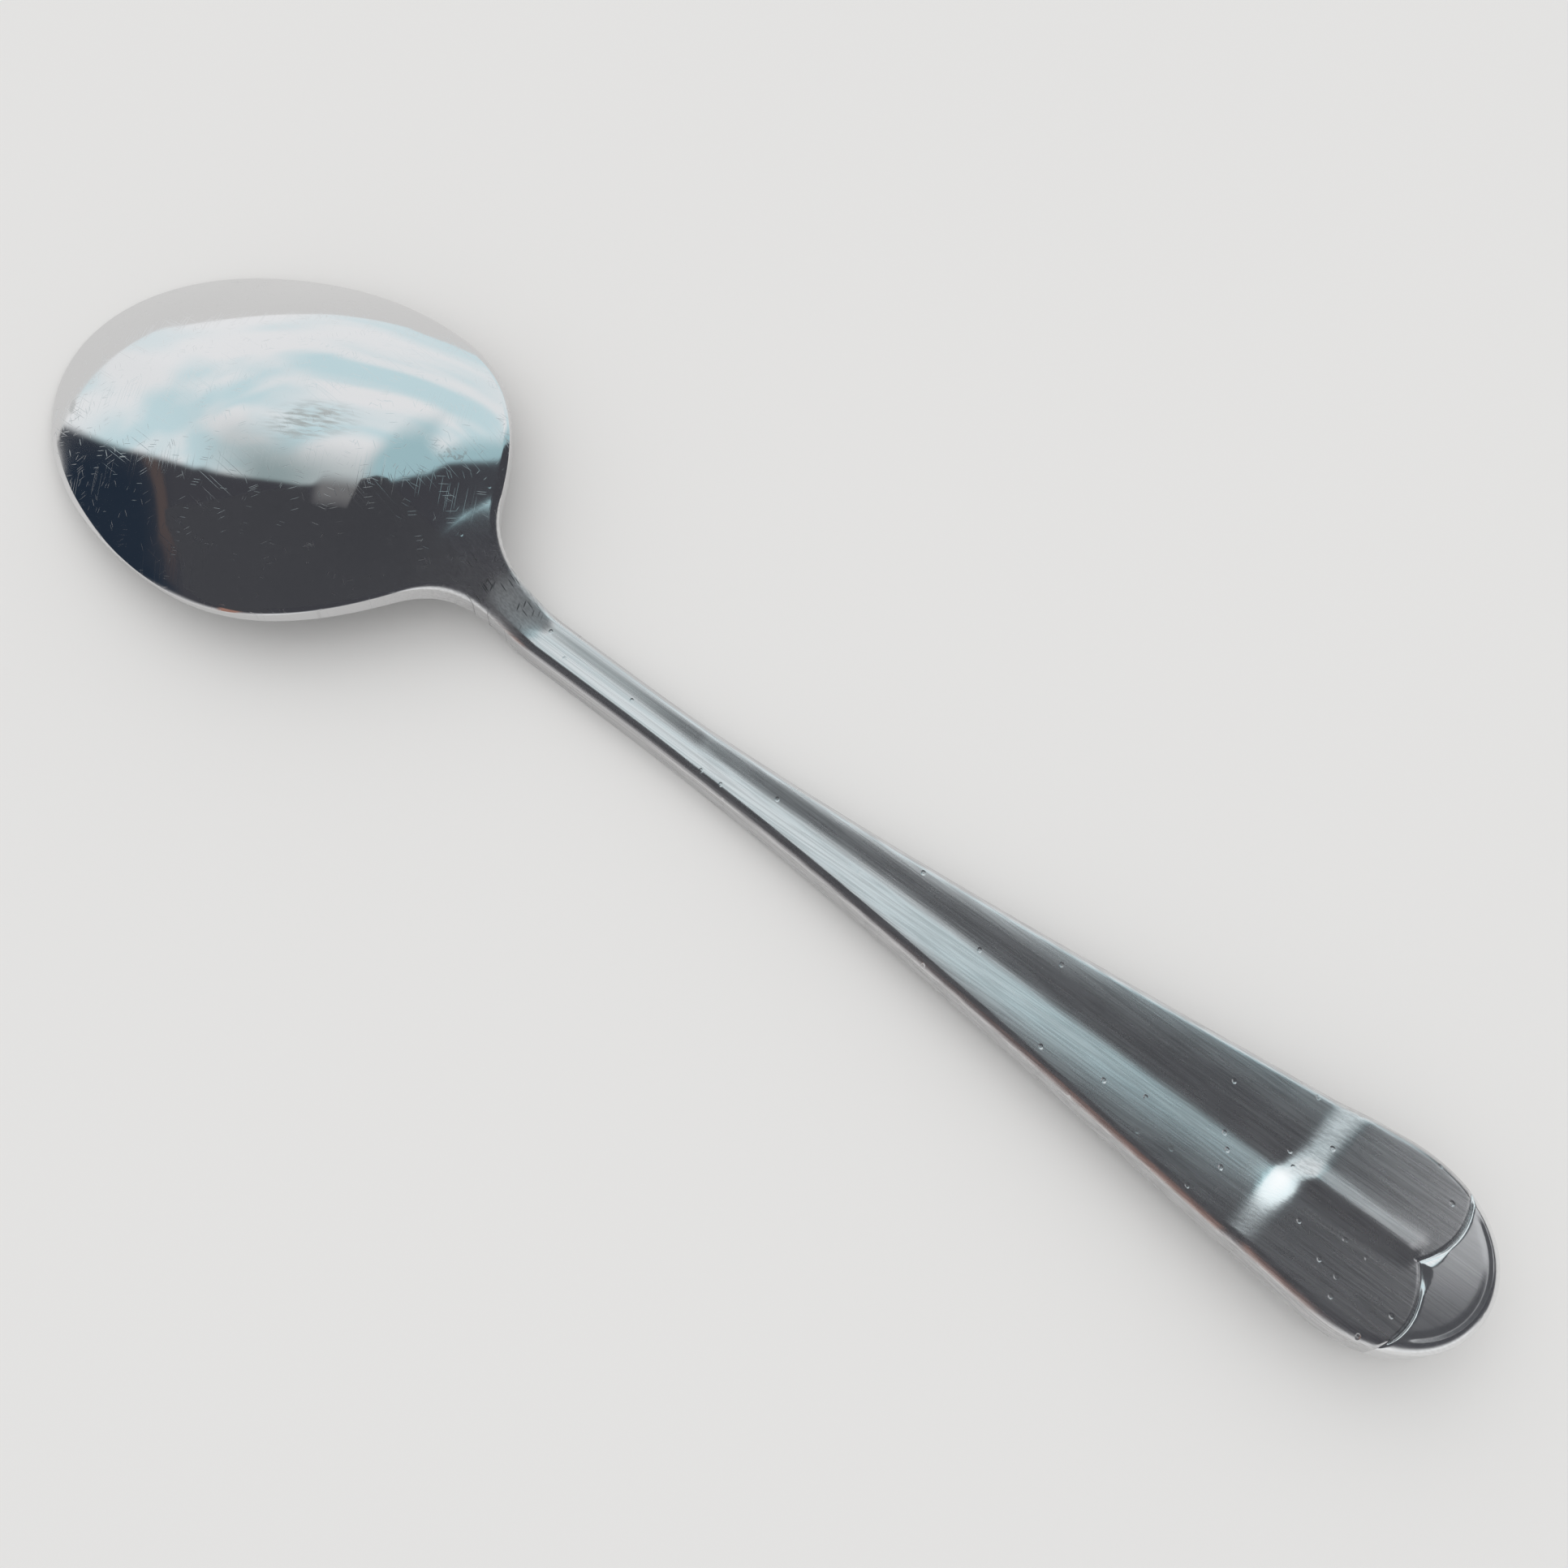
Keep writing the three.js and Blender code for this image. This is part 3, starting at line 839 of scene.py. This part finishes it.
def add_world(looks):
    """Even pale light. The steel sees it by direction: bright with pale bands and a haze on the far side,
    dark overhead and on the near side."""
    world = bpy.data.worlds.new("studio")
    world.use_nodes = True
    tree = world.node_tree
    tree.nodes.clear()
    start = Shade(tree)
    direction = start.node("ShaderNodeTexCoord", {}, {}, "Generated")
    east, north, up = direction.parts()
    ahead = HEADING[0] * east + HEADING[1] * north
    aside = SIDEWAYS[0] * east + SIDEWAYS[1] * north
    left = (0.0 - aside) * (0.235 + 0.45 * (0.57 - up).most(0.0))
    edge = left.most(0.075 + 1.3 * (aside - 0.05).most(0.0) ** 1.5 + 0.05 * aside.smooth(0.42, 0.50))
    middle = aside.smooth(-0.25, -0.15) * (1 - aside.smooth(0.18, 0.26))
    bright = (ahead - edge).smooth(-0.02, 0.02 + 0.10 * middle)
    bands = direction.mapped((0.35, 2.2, 2.2), -0.582).noise(1.6, 2.0, 0.2).smooth(0.40, 0.66)
    sky = (bands * (1 - up.smooth(0.83, 0.90))).blend(rgba(looks.sky), rgba(looks.teal))
    rise = ahead - edge - 0.2 * aside.smooth(0.05, 0.25) * (1 - aside.smooth(0.32, 0.46))
    high = (1 - rise.smooth(0.05, 0.42 - 0.2 * aside.smooth(0.32, 0.46))) * aside.smooth(-0.85, -0.55)
    haze = aside.smooth(-0.50, 0.0).blend(rgba(looks.deep), rgba(looks.haze))
    sky = high.blend(sky, aside.smooth(0.05, 0.20).blend(haze, rgba(looks.high)))
    shade = aside.smooth(-0.95, -0.86).blend(rgba(looks.navy), rgba(looks.shade))
    plank = aside.smooth(-0.915, -0.903) * (1 - aside.smooth(-0.892, -0.88)) * up.smooth(0.22, 0.34)
    shade = (plank * ahead.smooth(-0.3, 0.0)).blend(shade, rgba(looks.plank))
    shade = (middle * ahead.smooth(-0.13, 0.03)).blend(shade, rgba(looks.half))
    copper = aside.smooth(-0.70, -0.65) * (1 - aside.smooth(-0.56, -0.50))
    near = aside.smooth(-0.5, -0.25).blend(rgba(looks.low), rgba(looks.sky))
    towards = 1 - ahead.smooth(-0.45, -0.20)
    shade = (towards * (1 - up.smooth(0.05, 0.30))).blend(shade, near)
    shade = (copper * towards * (1 - up.smooth(0.45, 0.75))).blend(shade, rgba(looks.warm))
    seen = bright.blend(shade, sky)
    glossy = start.node("ShaderNodeLightPath", {}, {}, "Is Glossy Ray")
    studio = glossy.blend((0.82, 0.82, 0.82, 1.0), seen)
    background = start.node("ShaderNodeBackground", {}, {"Color": studio, "Strength": 1.0})
    start.node("ShaderNodeOutputWorld", {}, {"Surface": background})
    bpy.context.scene.world = world


class SPOON_OT_stage(bpy.types.Operator):
    """Pale floor, soft light, the cards and the table edge that show in the steel, and the camera."""

    bl_idname = "spoon.stage"
    bl_label = "Stage"

    def execute(self, context):
        looks = context.scene.spoon_looks
        context.scene.view_settings.view_transform = "Standard"
        square = ((-FLOOR_REACH, -FLOOR_REACH), (FLOOR_REACH, -FLOOR_REACH), (FLOOR_REACH, FLOOR_REACH),
                  (-FLOOR_REACH, FLOOR_REACH))
        corners = [(x, y, FLOOR_LEVEL) for x, y in square]
        floor = add_sheet("floor", corners, matte("pale_floor", looks.floor))
        floor.visible_glossy = False
        add_card("table", TABLE_CORNERS, TABLE_LEVEL, looks.floor)
        add_card("dark_card", CARD_CORNERS, CARD_HEIGHT, looks.card)
        add_card("grey_card", GREY_CORNERS, CARD_HEIGHT, looks.grey)
        add_world(looks)
        add_lamp("far_lamp", level_place(0.6, -0.2, 0.7), 1.2, 0.8)
        add_lamp("near_lamp", level_place(-0.5, 0.2, 0.8), 1.4, 1.2)
        add_camera()
        return {"FINISHED"}


class SPOON_PT_panel(bpy.types.Panel):
    """Sidebar panel with the spoon's pieces, sizes and colours."""

    bl_idname = "SPOON_PT_panel"
    bl_label = "Steel teaspoon"
    bl_space_type = "VIEW_3D"
    bl_region_type = "UI"
    bl_category = "Spoon"

    def draw(self, context):
        column = self.layout.column()
        for operator in OPERATORS:
            column.operator(operator.bl_idname)
        for group in (context.scene.spoon_sizes, context.scene.spoon_looks):
            for name in group.__annotations__:
                column.prop(group, name)


OPERATORS = (SPOON_OT_bowl, SPOON_OT_neck, SPOON_OT_stem, SPOON_OT_blade, SPOON_OT_raised_end, SPOON_OT_stage)
CLASSES = (SpoonSizes, SpoonLooks, *OPERATORS, SPOON_PT_panel)


def register():
    """Registers the classes and hangs the sizes and colours on the scene."""
    for cls in CLASSES:
        bpy.utils.register_class(cls)
    bpy.types.Scene.spoon_sizes = PointerProperty(type=SpoonSizes)
    bpy.types.Scene.spoon_looks = PointerProperty(type=SpoonLooks)


def unregister():
    """Takes the sizes, the colours and the classes away again."""
    del bpy.types.Scene.spoon_looks
    del bpy.types.Scene.spoon_sizes
    for cls in reversed(CLASSES):
        bpy.utils.unregister_class(cls)


def main():
    """Builds every piece and the stage."""
    register()
    bpy.ops.spoon.bowl()
    bpy.ops.spoon.neck()
    bpy.ops.spoon.stem()
    bpy.ops.spoon.blade()
    bpy.ops.spoon.raised_end()
    bpy.ops.spoon.stage()


if __name__ == "__main__":
    main()
